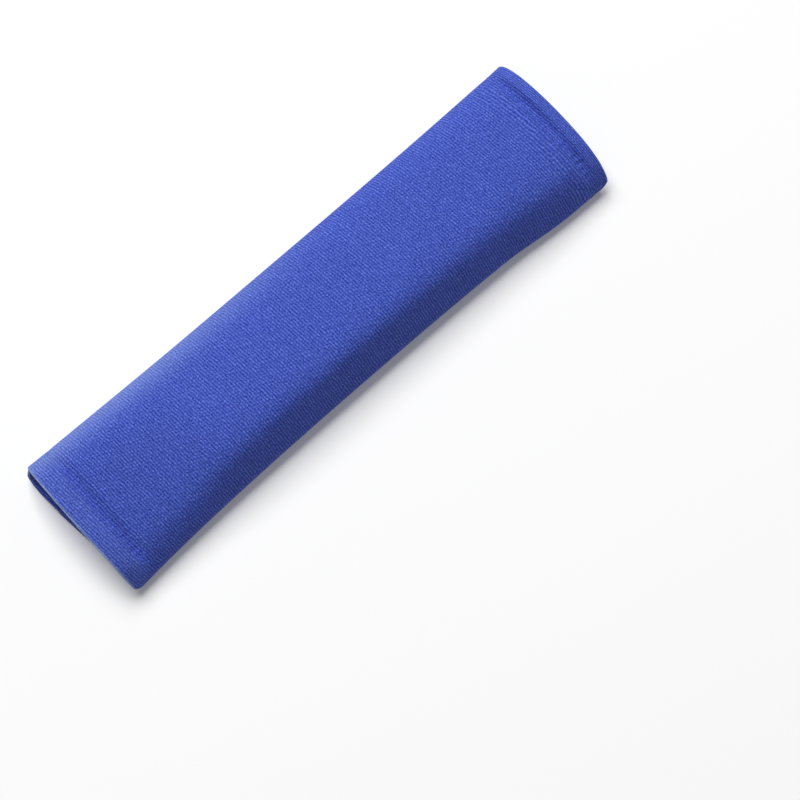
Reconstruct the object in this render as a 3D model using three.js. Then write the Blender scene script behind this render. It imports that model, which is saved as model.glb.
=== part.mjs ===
// Seat belt shoulder pad: one padded panel rolled into a flat sleeve round a seat belt.
//
// The panel is a sandwich of a knitted cover, a sheet of foam and a lining. Both short ends are
// hemmed: the cover turns in round the lining and is stitched down. The two long edges meet under
// the pad, one flap over the other, and a hook strip and a loop strip hold them together.
//
// Millimetres. +X runs along the belt, +Y across it, +Z up. The origin is on the ground under the
// middle of the sleeve, which lies on its closed flaps with the smooth face up.

import * as THREE from "three";

// Overall form of the sleeve
const LENGTH = 235;
const END_WIDTH = 61.4;
const WAIST_WIDTH = 55;
const END_HEIGHT = 17.5;
const MIDDLE_HEIGHT = 22;
const END_BOW = 3; // how much shorter the sleeve is along its folds than along its crest

// The two long folds: height of their widest point, and how far their rounded foot reaches in
const END_FOLD_HEIGHT = 6.5;
const MIDDLE_FOLD_HEIGHT = 8.5;
const FOOT_REACH = 7.5;

// Roundness of the arch over the folds, as the exponent of its curve: 2 is an ellipse
const END_SQUARENESS = 2.2;
const MIDDLE_SQUARENESS = 2.6;

// Layers of the panel
const COVER = 0.6;
const FOAM = 1.8;
const LINING = 0.5;
const LAYER_GAP = 0.15;
const FOAM_TIP = 0.5; // thickness of the foam where it stops before a hem
const FOAM_TAPER = 8;

// Hems at the two ends, and the groove that their stitches pull
const STITCH_INSET = 8;
const HEM_GROOVE_DEPTH = 0.8;
const HEM_GROOVE_WIDTH = 4;

// Closure under the pad
const OVERLAP = 22;
const FLAP_CLEARANCE = 0.8; // between the edge of the lower flap and the rise of the upper one
const STRIP_MARGIN = 2; // from a flap's edge to its strip
const STRIP_SETBACK = 4.5; // from where the hem begins to thin the foam to the strip's end
const STRIP_THICKNESS = 0.6;
const ROW_INSET = 1.4; // from a strip's edge to its row of stitches
const ROW_GROOVE_DEPTH = 0.65;
const ROW_GROOVE_WIDTH = 2;

// Sewing thread
const THREAD = 0.4;
const THREAD_SIDES = 6;

// How finely the curves are divided
const BODY_STEPS = 6;
const ARCH_STEPS = 12;
const FOOT_STEPS = 3;
const RAMP_STEPS = 3;

// Worked out from the sizes above
const HALF = LENGTH / 2;
const STITCH_AT = HALF - STITCH_INSET;
const HEM_START = STITCH_AT - HEM_GROOVE_WIDTH / 2;
const BODY_END = HEM_START - FOAM_TAPER;
const HEM_LAYERS = COVER + LAYER_GAP + LINING;
const BODY_LAYERS = COVER + FOAM + LINING + 2 * LAYER_GAP;
const FOAM_SPACE = BODY_LAYERS - HEM_LAYERS;
const FOAM_END = HEM_START - (FOAM_TAPER * (LAYER_GAP + FOAM_TIP)) / FOAM_SPACE;
const POCKET_END = HALF - COVER; // inside the fold of the cover at a hem
const LINING_END = POCKET_END - LAYER_GAP;
const STRIP_END = BODY_END - STRIP_SETBACK;
const STRIP_WIDTH = OVERLAP - 2 * STRIP_MARGIN;
const ROW_AT = STRIP_WIDTH / 2 - ROW_INSET;
const HOOK_STRIP_Z = BODY_LAYERS + LAYER_GAP;
const LOOP_STRIP_Z = HOOK_STRIP_Z + STRIP_THICKNESS + LAYER_GAP;
const BODY_FLAP_Z = LOOP_STRIP_Z + STRIP_THICKNESS + LAYER_GAP;
const HEM_FLAP_Z = HEM_LAYERS + LAYER_GAP + COVER + THREAD + 2 * LAYER_GAP;

const { lerp, clamp } = THREE.MathUtils;

// How much of the foam's thickness is left at x: 1 in the body, 0 from the hem outward.
const fullness = (x) => clamp((HEM_START - Math.abs(x)) / FOAM_TAPER, 0, 1);

// Thickness at x of the cover, the foam and the lining together.
const panelDepth = (x) => lerp(HEM_LAYERS, BODY_LAYERS, fullness(x));

// How far the stitches of a hem pull the whole wall in at x.
function hemGroove(x) {
  const away = Math.abs(Math.abs(x) - STITCH_AT) / (HEM_GROOVE_WIDTH / 2);
  return HEM_GROOVE_DEPTH * clamp(1 - away, 0, 1);
}

// The outer face of the panel cut across at x: from the edge of the lower flap along the ground,
// round the -Y fold, over the arch, round the +Y fold and up onto the lower flap. `mark` gives the
// index of each point where a piece starts, ends or is sewn.
function traceSection(x) {
  const end = Math.pow(Math.abs(x) / HALF, 2.4); // the sleeve stays full until near its ends
  const half = lerp(WAIST_WIDTH, END_WIDTH, end) / 2;
  const fold = lerp(MIDDLE_FOLD_HEIGHT, END_FOLD_HEIGHT, end);
  const rise = lerp(MIDDLE_HEIGHT, END_HEIGHT, end) - fold;
  const power = 2 / lerp(MIDDLE_SQUARENESS, END_SQUARENESS, end);
  const flap = lerp(HEM_FLAP_Z, BODY_FLAP_Z, fullness(x));
  const edge = OVERLAP / 2;
  const points = [];
  const mark = {};
  const add = (y, z, name) => {
    if (name) mark[name] = points.length;
    points.push(new THREE.Vector2(y, z));
  };

  add(edge, 0, "lowerEdge");
  add(edge - COVER, 0, "lowerWall");
  add(edge - COVER - LAYER_GAP, 0);
  add(edge - COVER - 2 * LAYER_GAP, 0, "lowerLayers");
  for (const row of [ROW_AT, -ROW_AT]) {
    add(row + ROW_GROOVE_WIDTH / 2, 0);
    add(row, 0, row > 0 ? "rearRow" : "frontRow");
    add(row - ROW_GROOVE_WIDTH / 2, 0);
  }

  const foot = half - FOOT_REACH;
  const [down, out] = [-Math.PI / 2, Math.PI];
  const frontFoot = new THREE.EllipseCurve(-foot, fold, FOOT_REACH, fold, down, -out, true);
  for (const p of frontFoot.getPoints(FOOT_STEPS)) add(p.x, p.y);
  for (let k = 1; k < ARCH_STEPS; k++) {
    const angle = (Math.PI * k) / ARCH_STEPS;
    const across = Math.sign(Math.cos(angle)) * Math.pow(Math.abs(Math.cos(angle)), power);
    add(-half * across, fold + rise * Math.pow(Math.sin(angle), power));
  }
  const rearFoot = new THREE.EllipseCurve(foot, fold, FOOT_REACH, fold, 0, down, true);
  for (const p of rearFoot.getPoints(FOOT_STEPS)) add(p.x, p.y);

  // The upper flap climbs over the lower one in two equal arcs, curving up and then level.
  const run = foot - edge - FLAP_CLEARANCE;
  const radius = (run * run + flap * flap) / (4 * flap);
  const turn = 2 * Math.atan2(flap, run);
  for (let k = 1; k <= RAMP_STEPS; k++) {
    const angle = (turn * k) / RAMP_STEPS;
    add(foot - radius * Math.sin(angle), radius * (1 - Math.cos(angle)));
  }
  for (let k = RAMP_STEPS - 1; k >= 0; k--) {
    const angle = (turn * k) / RAMP_STEPS;
    add(foot - run + radius * Math.sin(angle), flap - radius * (1 - Math.cos(angle)));
  }
  add(COVER + 2 * LAYER_GAP - edge, flap, "upperLayers");
  add(COVER + LAYER_GAP - edge, flap);
  add(COVER - edge, flap, "upperWall");
  add(-edge, flap, "upperEdge");
  return { points, mark, half };
}

// The direction into the panel at each point of a section, lengthened at a bend so that every
// layer keeps its thickness on both sides of it.
function inwardAt(points) {
  const last = points.length - 1;
  const normal = (i) => {
    const [a, b] = [points[i], points[i + 1]];
    return new THREE.Vector2(b.y - a.y, a.x - b.x).normalize();
  };
  return points.map((_, i) => {
    const after = normal(Math.min(i, last - 1));
    const middle = normal(Math.max(i - 1, 0)).add(after).normalize();
    return middle.divideScalar(middle.dot(after));
  });
}

const sections = new Map();
function sectionAt(x) {
  if (!sections.has(x)) {
    const section = traceSection(x);
    sections.set(x, { ...section, inward: inwardAt(section.points) });
  }
  return sections.get(x);
}
const { mark } = sectionAt(0);

// How far the stitches of the hook strip pull in the panel at x, point i and this depth in it.
function rowGroove(x, i, depth) {
  if (Math.abs(x) > STRIP_END || (i !== mark.frontRow && i !== mark.rearRow)) return 0;
  return ROW_GROOVE_DEPTH * clamp(1 - depth / panelDepth(x), 0, 1);
}

// The point at x along the sleeve, i round its section and depth below its outer face.
function place(x, i, depth) {
  const { points, inward, half } = sectionAt(x);
  const p = points[i];
  const into = depth + hemGroove(x) + rowGroove(x, i, depth);
  const bow = END_BOW * Math.pow(Math.abs(x) / HALF, 3) * Math.pow(p.x / half, 2);
  return [x - Math.sign(x) * bow, p.x + inward[i].x * into, p.y + inward[i].y * into];
}

// A closed body swept round the section from point `from` to point `to`. outlineAt gives its
// outline at each point, a list of [x, depth] pairs in order round it.
function sweepRound(outlineAt, from, to) {
  const positions = [];
  const triangles = [];
  const ring = outlineAt(from).length;
  for (let i = from; i <= to; i++) {
    for (const [x, depth] of outlineAt(i)) positions.push(...place(x, i, depth));
  }
  for (let i = from; i < to; i++) {
    for (let k = 0; k < ring; k++) {
      const next = (k + 1) % ring;
      const [a, b] = [(i - from) * ring + k, (i - from) * ring + next];
      // Faces of neighbouring layers are split along the same diagonal, so they stay parallel.
      if (outlineAt(i)[next][0] > outlineAt(i)[k][0]) {
        triangles.push(a, b, b + ring, a, b + ring, a + ring);
      } else {
        triangles.push(a, b, a + ring, b, b + ring, a + ring);
      }
    }
  }
  const capAt = (i) => {
    const flat = outlineAt(i).map(([x, depth]) => new THREE.Vector2(x, depth));
    return THREE.ShapeUtils.triangulateShape(flat, []);
  };
  const lastRing = (to - from) * ring;
  for (const [a, b, c] of capAt(from)) triangles.push(a, c, b);
  for (const [a, b, c] of capAt(to)) triangles.push(lastRing + a, lastRing + b, lastRing + c);
  const geometry = new THREE.BufferGeometry();
  geometry.setAttribute("position", new THREE.Float32BufferAttribute(positions, 3));
  geometry.setIndex(triangles);
  return geometry;
}

// Places along the sleeve where its wall changes. Every layer is cut at the same ones.
const stations = new Set();
for (let k = 0; k <= BODY_STEPS; k++) stations.add(lerp(-BODY_END, BODY_END, k / BODY_STEPS));
const GROOVE_END = STITCH_AT + HEM_GROOVE_WIDTH / 2;
for (const x of [STRIP_END, FOAM_END, HEM_START, STITCH_AT, GROOVE_END]) {
  stations.add(x).add(-x);
}
for (const x of [LINING_END, POCKET_END, HALF]) stations.add(x).add(-x);

// The stations from x = low to high, in that order, each with its depth in the panel.
function along(low, high, depth) {
  const there = [...stations].filter((x) => x >= Math.min(low, high) && x <= Math.max(low, high));
  there.sort((a, b) => (low < high ? a - b : b - a));
  return there.map((x) => [x, depth(x)]);
}

const hemInside = (x) => panelDepth(x) + LAYER_GAP;
const hemOutside = (x) => hemInside(x) + COVER;

// The cover is a skin over the whole outside. At each end it folds in over the lining and runs
// back past the stitches, and along each flap edge it turns up to close the side of the panel.
function makeCover() {
  const around = (innerFace) => [
    ...along(-HALF, HALF, () => 0),
    ...along(HALF, HEM_START, hemOutside),
    ...along(HEM_START, POCKET_END, hemInside),
    ...along(POCKET_END, -POCKET_END, innerFace),
    ...along(-POCKET_END, -HEM_START, hemInside),
    ...along(-HEM_START, -HALF, hemOutside),
  ];
  const skin = around(() => COVER);
  const side = around((x) => (fullness(x) > 0 ? panelDepth(x) : COVER));
  const isSide = (i) => i <= mark.lowerWall || i >= mark.upperWall;
  return sweepRound((i) => (isSide(i) ? side : skin), mark.lowerEdge, mark.upperEdge);
}

// The foam fills the body between cover and lining and thins out before the hems.
function makeFoam() {
  const under = along(-FOAM_END, FOAM_END, () => COVER + LAYER_GAP);
  const over = along(FOAM_END, -FOAM_END, (x) => panelDepth(x) - LINING - LAYER_GAP);
  return sweepRound(() => [...under, ...over], mark.lowerLayers, mark.upperLayers);
}

// The lining lies on the foam and runs on into both hems, where the cover folds in over it.
function makeLining() {
  const under = along(-LINING_END, LINING_END, (x) => panelDepth(x) - LINING);
  const over = along(LINING_END, -LINING_END, panelDepth);
  return sweepRound(() => [...under, ...over], mark.lowerLayers, mark.upperLayers);
}

// A flat closure strip whose lower face is at height z.
function makeStrip(z) {
  const strip = new THREE.BoxGeometry(2 * STRIP_END, STRIP_WIDTH, STRIP_THICKNESS);
  return strip.translate(0, 0, z + STRIP_THICKNESS / 2);
}

// A row of stitches across the hem at x, lying in its groove all the way round the sleeve.
function makeHemThread(x) {
  const outline = [];
  for (let k = 0; k < THREAD_SIDES; k++) {
    const angle = (2 * Math.PI * k) / THREAD_SIDES;
    const depth = (THREAD / 2) * (Math.sin(angle) - 1) - LAYER_GAP;
    outline.push([x + (THREAD / 2) * Math.cos(angle), depth]);
  }
  return sweepRound(() => outline, mark.lowerWall, mark.upperWall);
}

// A straight row of stitches along a closure strip, centred on (y, z).
function makeRowThread(y, z) {
  const length = 2 * (STRIP_END - ROW_INSET);
  const row = new THREE.CylinderGeometry(THREAD / 2, THREAD / 2, length, THREAD_SIDES);
  return row.rotateZ(Math.PI / 2).translate(0, y, z);
}

const knit = new THREE.MeshStandardMaterial({ color: 0x4253a6, roughness: 0.9 });
const sponge = new THREE.MeshStandardMaterial({ color: 0xe6e3d8, roughness: 1 });
const backing = new THREE.MeshStandardMaterial({ color: 0x27357d, roughness: 0.95 });
const fastener = new THREE.MeshStandardMaterial({ color: 0x222f6b, roughness: 0.8 });
const thread = new THREE.MeshStandardMaterial({ color: 0x34459a, roughness: 0.6 });

const pad = new THREE.Group();
function addPiece(name, geometry, material) {
  const mesh = new THREE.Mesh(geometry, material);
  mesh.name = name;
  pad.add(mesh);
}

addPiece("outer_cover", makeCover(), knit);
addPiece("foam_padding", makeFoam(), sponge);
addPiece("inner_lining", makeLining(), backing);
addPiece("hook_strip", makeStrip(HOOK_STRIP_Z), fastener);
addPiece("loop_strip", makeStrip(LOOP_STRIP_Z), fastener);
addPiece("hem_stitching_left", makeHemThread(-STITCH_AT), thread);
addPiece("hem_stitching_right", makeHemThread(STITCH_AT), thread);

// The hook strip's stitches show under the pad, and the loop strip's show inside the sleeve.
const underPad = ROW_GROOVE_DEPTH - LAYER_GAP - THREAD / 2;
const insideSleeve = BODY_FLAP_Z + BODY_LAYERS + LAYER_GAP + THREAD / 2;
for (const [side, y] of Object.entries({ front: -ROW_AT, rear: ROW_AT })) {
  addPiece(`hook_strip_stitching_${side}`, makeRowThread(y, underPad), thread);
  addPiece(`loop_strip_stitching_${side}`, makeRowThread(y, insideSleeve), thread);
}

export default pad;
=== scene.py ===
# %% [markdown]
# Seat belt shoulder pad: a padded panel rolled into a flat sleeve, lying on its closed flaps.
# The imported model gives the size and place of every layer. This lesson dresses it: it makes each
# layer again as a fine surface, puffs the cover with a cloth simulation, sews the seams stitch by
# stitch and gives every cloth its own procedural finish.

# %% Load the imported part
import math

import bpy
import numpy as np
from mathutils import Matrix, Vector


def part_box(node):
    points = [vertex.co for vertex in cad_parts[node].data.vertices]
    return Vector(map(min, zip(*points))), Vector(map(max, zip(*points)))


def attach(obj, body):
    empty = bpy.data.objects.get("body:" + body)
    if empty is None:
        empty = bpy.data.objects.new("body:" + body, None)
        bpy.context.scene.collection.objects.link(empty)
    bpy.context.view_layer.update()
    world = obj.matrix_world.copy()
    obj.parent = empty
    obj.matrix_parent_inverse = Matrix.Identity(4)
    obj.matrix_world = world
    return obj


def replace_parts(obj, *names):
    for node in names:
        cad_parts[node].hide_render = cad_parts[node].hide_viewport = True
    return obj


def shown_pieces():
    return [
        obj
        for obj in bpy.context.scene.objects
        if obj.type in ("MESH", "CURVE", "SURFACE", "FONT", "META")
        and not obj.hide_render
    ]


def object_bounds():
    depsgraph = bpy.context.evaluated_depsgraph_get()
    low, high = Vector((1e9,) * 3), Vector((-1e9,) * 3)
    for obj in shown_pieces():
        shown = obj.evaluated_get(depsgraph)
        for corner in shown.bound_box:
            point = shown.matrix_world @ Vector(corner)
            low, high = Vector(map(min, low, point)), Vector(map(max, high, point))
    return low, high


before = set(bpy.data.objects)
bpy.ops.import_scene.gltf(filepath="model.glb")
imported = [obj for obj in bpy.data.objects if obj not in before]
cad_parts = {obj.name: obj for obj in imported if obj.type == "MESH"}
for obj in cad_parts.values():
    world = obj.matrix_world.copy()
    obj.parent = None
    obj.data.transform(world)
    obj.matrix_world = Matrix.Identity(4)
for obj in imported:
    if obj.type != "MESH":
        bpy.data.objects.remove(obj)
cad_low, cad_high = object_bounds()

# %% [markdown]
# The camera comes first, because everything else is judged through it. The photograph looks down
# steeply from beside the near end, with a long lens. A camera could be placed by hand, but here it
# is worked out from an azimuth, an elevation, a distance and the width that the picture covers, so
# each of these can be changed by itself.

# %% Camera
MM = 0.001
CAMERA_AZIMUTH = math.radians(318.03)
CAMERA_ELEVATION = math.radians(75)
CAMERA_DISTANCE = 1.10
PICTURE_WIDTH = 291.56 * MM  # seen at the aim point
AIM = Vector((3.06, -40.0, 0.0)) * MM


def put(name, data):
    """A new object of this name in the scene, at the origin."""
    thing = bpy.data.objects.new(name, data)
    bpy.context.scene.collection.objects.link(thing)
    return thing


def make_camera():
    """A camera on a sphere round the aim point, turned to look at it with its top edge up."""
    back = Vector((
        math.sin(CAMERA_AZIMUTH) * math.cos(CAMERA_ELEVATION),
        -math.cos(CAMERA_AZIMUTH) * math.cos(CAMERA_ELEVATION),
        math.sin(CAMERA_ELEVATION),
    ))
    data = bpy.data.cameras.new("product_camera")
    data.lens = data.sensor_width * CAMERA_DISTANCE / PICTURE_WIDTH
    data.clip_end = 20
    camera = put("product_camera", data)
    camera.location = AIM + back * CAMERA_DISTANCE
    camera.rotation_euler = back.to_track_quat("Z", "Y").to_euler()
    bpy.context.scene.camera = camera
    return camera


camera = make_camera()
print("lens mm:", round(camera.data.lens, 1))

# %% [markdown]
# The sizes of the sleeve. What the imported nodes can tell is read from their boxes. The rest are
# the driving sizes of the real pad: how wide it is at its waist, how the long folds are rounded,
# how thick each layer of the panel is, and where the closure under the pad lies.

# %% Sizes
HALF = cad_high.x
END_WIDTH = cad_high.y - cad_low.y
MIDDLE_HEIGHT = cad_high.z
WAIST_WIDTH = 55 * MM
END_HEIGHT = 17.5 * MM
END_FOLD_HEIGHT = 6.5 * MM
MIDDLE_FOLD_HEIGHT = 8.5 * MM
FOOT_REACH = 7.5 * MM
END_SQUARENESS = 2.2
MIDDLE_SQUARENESS = 2.6
WIDENING = 2.4  # power of x by which the section changes from the waist to the ends

COVER = 0.6 * MM
FOAM = 1.8 * MM
LINING = 0.5 * MM
GAP = 0.15 * MM
FOAM_TAPER = 8 * MM
FOAM_TIP = 0.5 * MM

STITCH_AT = sum(corner.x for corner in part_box("hem_stitching_right")) / 2
NEAR_GROOVE = (1.6 * MM, 1.0 * MM, 5.5 * MM)  # depth, and reach towards the end and the middle
FAR_GROOVE = (2.1 * MM, 3.8 * MM, 3.6 * MM)
HEM_START = STITCH_AT - 2 * MM
HEM_LAYERS = COVER + GAP + LINING
BODY_LAYERS = COVER + FOAM + LINING + 2 * GAP
FOAM_END = HEM_START - FOAM_TAPER * (GAP + FOAM_TIP) / (BODY_LAYERS - HEM_LAYERS)

OVERLAP = 22 * MM
FLAP_CLEARANCE = 0.8 * MM
ROW_AT = 7.6 * MM
ROW_GROOVE = 0.55 * MM
STRIP_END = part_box("hook_strip")[1].x
BODY_FLAP_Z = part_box("loop_strip")[1].z + GAP
HEM_FLAP_Z = HEM_LAYERS + COVER + 0.4 * MM + 3 * GAP
print("half length mm:", round(HALF / MM, 2), "stitch row at mm:", round(STITCH_AT / MM, 2))

# %% [markdown]
# The whole pad is one surface in two parameters: x along the belt, and a path round the section.
# The path starts at the edge of the lower flap, runs under the pad, round the front fold, over the
# arch, round the rear fold and up onto the lower flap. Such a section could be drawn by hand at a
# few places and lofted. A formula is better here, because every layer can then be laid at its own
# depth below the same path, so the layers can never cross. The perfect section is then pressed out
# of shape a little, as a hand does it: the crest leans, and one long side is pushed to a slope.

# %% The section of the sleeve
FLAP_STEPS = 34
GROUND_STEPS = 9
FOOT_STEPS = 9
ARCH_STEPS = 92
RAMP_STEPS = 8
EDGE_ROUND = 1.0 * MM
EDGE_OPENINGS = np.array([0.30, 0.60, 0.84, 0.97])  # how far the layers part towards a flap's edge

BODY_LEAN, NEAR_LEAN = 0.09, -0.22  # slope across the crest, up towards the front fold
NEAR_LEAN_FROM, NEAR_LEAN_REACH = 50 * MM, 40 * MM  # where one gives way to the other
HEM_LEAN, HEM_LEAN_REACH = 0.25, 6 * MM  # share of the lean that a flat hem keeps
LEAN_FROM = 0.35  # share of the height above which the section leans
LEAN_PIVOT = 6 * MM  # how far from the middle a leaning crest keeps its height
END_DRIFT = 1.2 * MM  # how far both ends lie towards the front
FRONT_SPREAD = 0.85 * MM  # how far the front fold is pushed out all along
FAR_BULGE = 1.7 * MM  # what the front fold spreads more at one place
FAR_BULGE_AT, FAR_BULGE_REACH = 94 * MM, 28 * MM
FRONT_SLOPE = math.radians(57)
FRONT_DISTANCE = 27.3 * MM  # of the steep side's plane from the origin
FRONT_SOFTNESS = (1.3 * MM, 3.4 * MM)  # how round the knee above it is, midway and at the ends
FRONT_REACH = 260 * MM  # how fast that pressing fades along the belt


def mix(a, b, share):
    """The value that lies this share of the way from a to b."""
    return a + (b - a) * share


def smooth(share):
    """0 up to 0, 1 from 1 on, and a soft S between them: 3t^2 - 2t^3."""
    t = np.clip(share, 0, 1)
    return t * t * (3 - 2 * t)


def bell(distance, reach):
    """1 at no distance, falling as half a cosine wave to 0 at the reach."""
    return 0.5 + 0.5 * np.cos(np.pi * np.clip(np.abs(distance) / reach, 0, 1))


def fullness(x):
    """Share of the foam's thickness left at x: 1 in the body, falling evenly to 0 at the hem."""
    return np.clip((HEM_START - np.abs(x)) / FOAM_TAPER, 0, 1)


def panel_depth(x):
    """Thickness of cover, foam and lining together at x."""
    return mix(HEM_LAYERS, BODY_LAYERS, fullness(x))


def end_share(x):
    """0 at the waist and 1 at both ends: |x / half length|^p."""
    return (np.abs(x) / HALF) ** WIDENING


def section_parts(x):
    """The stretches of the outer face in order, each as y and z with a row for each x. Flats are
    straight, a foot is a quarter ellipse, the arch is a superellipse |y/a|^n + |z/b|^n = 1, and the
    ramp of the upper flap is two equal arcs, the first curving up and the second back to level."""
    end = end_share(x)
    half = mix(WAIST_WIDTH, END_WIDTH, end) / 2
    fold = mix(MIDDLE_FOLD_HEIGHT, END_FOLD_HEIGHT, end)
    rise = mix(MIDDLE_HEIGHT, END_HEIGHT, end) - fold
    power = 2 / mix(MIDDLE_SQUARENESS, END_SQUARENESS, end)
    flap = mix(HEM_FLAP_Z, BODY_FLAP_Z, fullness(x))
    foot = half - FOOT_REACH
    edge = OVERLAP / 2

    wall = edge - EDGE_ROUND * (1 - np.sqrt(1 - EDGE_OPENINGS**2))
    flat = np.linspace(edge - EDGE_ROUND, -edge, FLAP_STEPS)
    shares = np.linspace(0, 1, GROUND_STEPS + 1)
    yield "lower_wall", wall, 0
    yield "lower_flap", flat, 0
    yield "ground", mix(-edge, -foot, shares[1:]), 0
    turn = np.linspace(0, math.pi / 2, FOOT_STEPS + 1)[1:-1]
    yield "front_foot", -foot - FOOT_REACH * np.sin(turn), fold * (1 - np.cos(turn))
    angle = np.linspace(0, math.pi, ARCH_STEPS + 1)
    across = np.sign(np.cos(angle)) * np.abs(np.cos(angle)) ** power
    yield "arch", -half * across, fold + rise * np.abs(np.sin(angle)) ** power
    yield "rear_foot", foot + FOOT_REACH * np.cos(turn), fold * (1 - np.sin(turn))
    run = foot - edge - FLAP_CLEARANCE
    radius = (run**2 + flap**2) / (4 * flap)
    bend = 2 * np.arctan2(flap, run) * np.linspace(0, 1, RAMP_STEPS + 1)
    yield "ramp_up", foot - radius * np.sin(bend), radius * (1 - np.cos(bend))
    level = bend[:, -2::-1]
    yield "ramp_level", foot - run + radius * np.sin(level), flap - radius * (1 - np.cos(level))
    yield "upper_flap", -flat[::-1], flap
    yield "upper_wall", -wall[::-1], flap


def press_by_hand(x, y, z, half):
    """The section after handling. The crest leans by z - (lean * y + |lean| * pivot) * share^2.
    Both ends drift to the front, and the front fold spreads. Last, the front side is pressed to a
    plane n.p = d: a point beyond it moves back by the soft excess w ln(1 + e^((n.p - d) / w))."""
    share = np.clip(z / MIDDLE_HEIGHT - LEAN_FROM, 0, 1) / (1 - LEAN_FROM)
    lean = mix(BODY_LEAN, NEAR_LEAN, smooth((-x - NEAR_LEAN_FROM) / NEAR_LEAN_REACH))
    lean = mix(lean, lean * HEM_LEAN, smooth((np.abs(x) - STITCH_AT) / HEM_LEAN_REACH))
    z = z - (lean * y + np.abs(lean) * LEAN_PIVOT) * share**2
    aside = np.clip(np.abs(y) / half, 0, 1)
    spread = FRONT_SPREAD + FAR_BULGE * bell(x - FAR_BULGE_AT, FAR_BULGE_REACH)
    y = y - END_DRIFT * (x / HALF) ** 2 * aside**2 - spread * aside**4 * (y < 0)
    out_y, out_z = -math.sin(FRONT_SLOPE), math.cos(FRONT_SLOPE)
    softness = mix(*FRONT_SOFTNESS, (x / HALF) ** 2)
    excess = (out_y * y + out_z * z - FRONT_DISTANCE) / softness
    back = softness * np.logaddexp(0, excess) * bell(x, FRONT_REACH)
    return y - out_y * back, z - out_z * back


def section(x):
    """y and z of the whole outer face with a row for each x, and half the width there."""
    x = np.asarray(x, float)[:, None]
    columns = [np.broadcast_arrays(y, z + 0 * x) for _, y, z in section_parts(x)]
    ys, zs = ([pair[axis] + 0 * x for pair in columns] for axis in (0, 1))
    half = mix(WAIST_WIDTH, END_WIDTH, end_share(x)) / 2
    y, z = press_by_hand(x, np.concatenate(ys, axis=1), np.concatenate(zs, axis=1), half)
    return y, z, half


def stretches():
    """Where each named stretch begins and ends, as columns counted from the lower flap's edge."""
    spans, start = {}, 0
    for name, y, z in section_parts(np.zeros((1, 1))):
        width = np.broadcast(y, z).shape[-1]
        spans[name] = (start, start + width)
        start += width
    return spans, start


SPAN, COLUMNS = stretches()
CREST = sum(SPAN["arch"]) // 2
LAYERS = slice(SPAN["lower_flap"][0] + 1, SPAN["upper_flap"][1] - 1)  # foam and lining end here
print("points round the section:", COLUMNS)

# %% [markdown]
# Now the surface itself. A point is found by going along the path and then straight into the
# panel. On the way the stitches pull every layer in, and the cloth swells beside them. The ends
# bow back to the folds, and the lower layers stand out or lie back beyond the upper ones, because
# cloth cut and rolled by hand is never quite square. Each of these could be sculpted, but as a
# function of x, depth and column they move cover, foam, lining and thread together.

# %% Points of the panel
STITCH_PITCH = 3.0 * MM
RIPPLE = 0.12  # share of a hem's groove that comes and goes with each stitch
FOLD_SHARE = 0.35  # share of the half width over which seams fade out
HEM_STEP = 2.0 * MM  # how fast the panel takes on the hem's thickness
HEM_THICKNESS = HEM_LAYERS + GAP + COVER
ROW_GROOVE_WIDTH = 2.4 * MM
HEM_FLARE = 0.3 * MM  # how far a hem opens at its fold
SHOULDER_SWELL, SHOULDER_WIDTH = 0.6 * MM, 20 * MM  # the cloth's rise beside a hem
NEAR_BOW = (0.8 * MM, 1.0 * MM)  # how far an end's corners lie back, at the front and rear fold
FAR_BOW = (0.8 * MM, 1.1 * MM)
NEAR_RECESS, FAR_RECESS = 1.15 * MM, 0.75 * MM
CORNER_ROUND = 0.5 * MM
LOWER_RECESS, LOWER_SLANT = 1.75 * MM, 0.10  # the slanting edge of the lower layers
LOWER_CORNER = 2.4 * MM
LOWER_LAYERS = (2.8 * MM, 6.0 * MM)  # heights between which that edge gives way to the upper one
FAR_HEM_SHIFT = 2.0 * MM  # the far hem is sewn narrower

puff_field = None  # rows of x, and how far the cloth stands off its pattern there


def lifted():
    """For each column, 0 where the panel lies on the ground or on a flap and 1 over the arch."""
    share = np.zeros(COLUMNS)
    share[slice(*SPAN["arch"])] = 1
    front, rear = SPAN["front_foot"], SPAN["rear_foot"]
    share[slice(*front)] = smooth(np.linspace(0, 1, front[1] - front[0] + 2)[1:-1])
    share[slice(*rear)] = smooth(np.linspace(1, 0, rear[1] - rear[0] + 2)[1:-1])
    return share


def openness():
    """For each column, how far the layers are apart: 1, but less in the rounded flap edges."""
    share = np.ones(COLUMNS)
    share[slice(*SPAN["lower_wall"])] = EDGE_OPENINGS
    share[slice(*SPAN["upper_wall"])] = EDGE_OPENINGS[::-1]
    return share


LIFTED, OPENNESS = lifted(), openness()


def puff_at(x):
    """How far the cloth stands off its pattern at each x and column, from the simulation."""
    if puff_field is None:
        return np.zeros((len(x), COLUMNS))
    rows, field = puff_field
    return np.stack([np.interp(x, rows, field[:, k]) for k in range(COLUMNS)], axis=1)


def arc_length(y, z):
    """Distance along each row of the section, counted from the crest."""
    steps = np.hypot(np.diff(y, axis=1), np.diff(z, axis=1))
    length = np.concatenate([np.zeros((len(y), 1)), np.cumsum(steps, axis=1)], axis=1)
    return length - length[:, CREST:CREST + 1]


def off_folds(y, half):
    """1 over most of the width, falling to 0 at the long folds, where seams do not show."""
    return smooth((1 - np.abs(y) / half) / FOLD_SHARE)


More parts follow.
